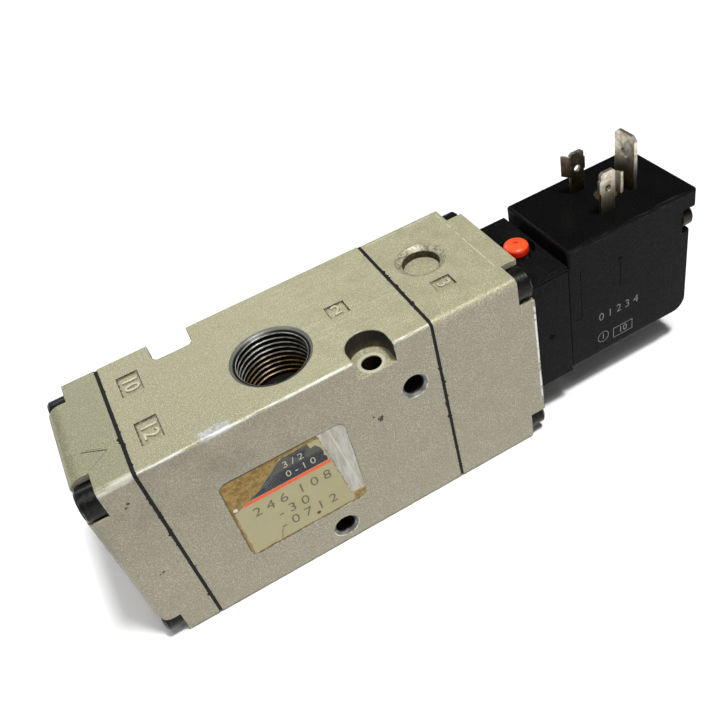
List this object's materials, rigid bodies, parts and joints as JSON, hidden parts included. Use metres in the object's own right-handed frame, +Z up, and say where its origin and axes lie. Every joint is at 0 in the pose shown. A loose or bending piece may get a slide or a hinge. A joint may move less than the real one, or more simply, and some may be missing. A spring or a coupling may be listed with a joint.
{
  "type": "solenoid directional valve",
  "caption": "Die-cast poppet valve block with threaded ports, socket-screwed end plates and a black solenoid pilot with plug blades and an orange override button.",
  "frame": {"origin": "middle of the footprint, at the height of the bottom face", "axes": "+X from the end cover to the coil, +Y from the label face to the back, +Z up through port A"},
  "size_m": [0.147, 0.034, 0.0584],
  "materials": {
    "body_paint": "champagne enamel over a fine die casting, speckled and lightly worn",
    "cover_paint": "champagne enamel over a fine die casting, with small chips",
    "gasket": "black sheet gasket with uneven cut edges",
    "black_screws": "black oxide with bright worn rims",
    "label_film": "silvery polyester film, worn, with an orange line",
    "turned_brass": "turned brass with fine tool marks",
    "nitrile": "matt black nitrile",
    "spring_steel": "drawn spring steel",
    "stainless": "ground stainless steel",
    "yoke_steel": "plated mild steel",
    "piston_aluminium": "turned aluminium",
    "pilot_plastic": "charcoal glass-filled nylon, finely grained",
    "coil_plastic": "charcoal moulded thermoplastic, finely grained",
    "bobbin_plastic": "natural glass-filled nylon",
    "winding_wire": "enamelled copper wire",
    "tinned_blades": "tin plate, softly dulled and warm",
    "insert_brass": "bright turned brass",
    "pilot_screw_steel": "zinc plated, slotted",
    "orange_plastic": "orange moulded plastic"
  },
  "bodies": {
    "housing": {"main_body": "body_paint", "end_cover": "cover_paint", "adapter_plate": "cover_paint", "end_cover_gasket": "gasket", "adapter_gasket": "gasket", "pilot_gasket": "gasket", "end_cover_screws": "black_screws", "adapter_screws": "black_screws", "rating_label": "label_film", "supply_guide_plug": "turned_brass", "exhaust_guide_plug": "turned_brass", "guide_plug_o_rings": "nitrile", "plug_retaining_ring": "spring_steel", "return_spring": "spring_steel", "pilot_body": "pilot_plastic", "pilot_nozzle": "turned_brass", "override_spring": "spring_steel", "core_tube": "stainless", "armature_spring": "spring_steel", "fixed_core": "stainless", "yoke_washers": "yoke_steel", "yoke_sleeve": "yoke_steel", "coil_bobbin": "bobbin_plastic", "coil_winding": "winding_wire", "coil_housing": "coil_plastic", "line_terminals": "tinned_blades", "earth_terminal": "tinned_blades", "connector_insert": "insert_brass", "pilot_screws": "pilot_screw_steel"},
    "poppet_set": {"valve_stem": "stainless", "supply_poppet": "turned_brass", "supply_poppet_seal": "nitrile", "poppet_spacer": "turned_brass", "exhaust_poppet_seal": "nitrile", "exhaust_poppet": "turned_brass", "guide_sleeve": "stainless", "pilot_piston": "piston_aluminium", "piston_seal": "nitrile", "piston_nut": "spring_steel"},
    "override": {"override_button": "orange_plastic", "override_o_ring": "nitrile"},
    "plunger": {"armature": "stainless", "armature_seal": "nitrile"}
  },
  "joints": [
    {"name": "poppet_slide", "type": "slide", "parent": "housing", "child": "poppet_set", "axis": [-1, 0, 0], "range_m": [0, 0.003], "stiffness_N_per_m": 1500, "springref_m": -0.006, "deforming": ["return_spring"]},
    {"name": "override_press", "type": "slide", "parent": "housing", "child": "override", "axis": [0, 0, -1], "range_m": [0, 0.0012], "stiffness_N_per_m": 1200, "springref_m": -0.002, "deforming": ["override_spring"]},
    {"name": "armature_slide", "type": "slide", "parent": "housing", "child": "plunger", "axis": [1, 0, 0], "range_m": [0, 0.0008], "stiffness_N_per_m": 900, "springref_m": -0.002, "deforming": ["armature_spring"]}
  ]
}
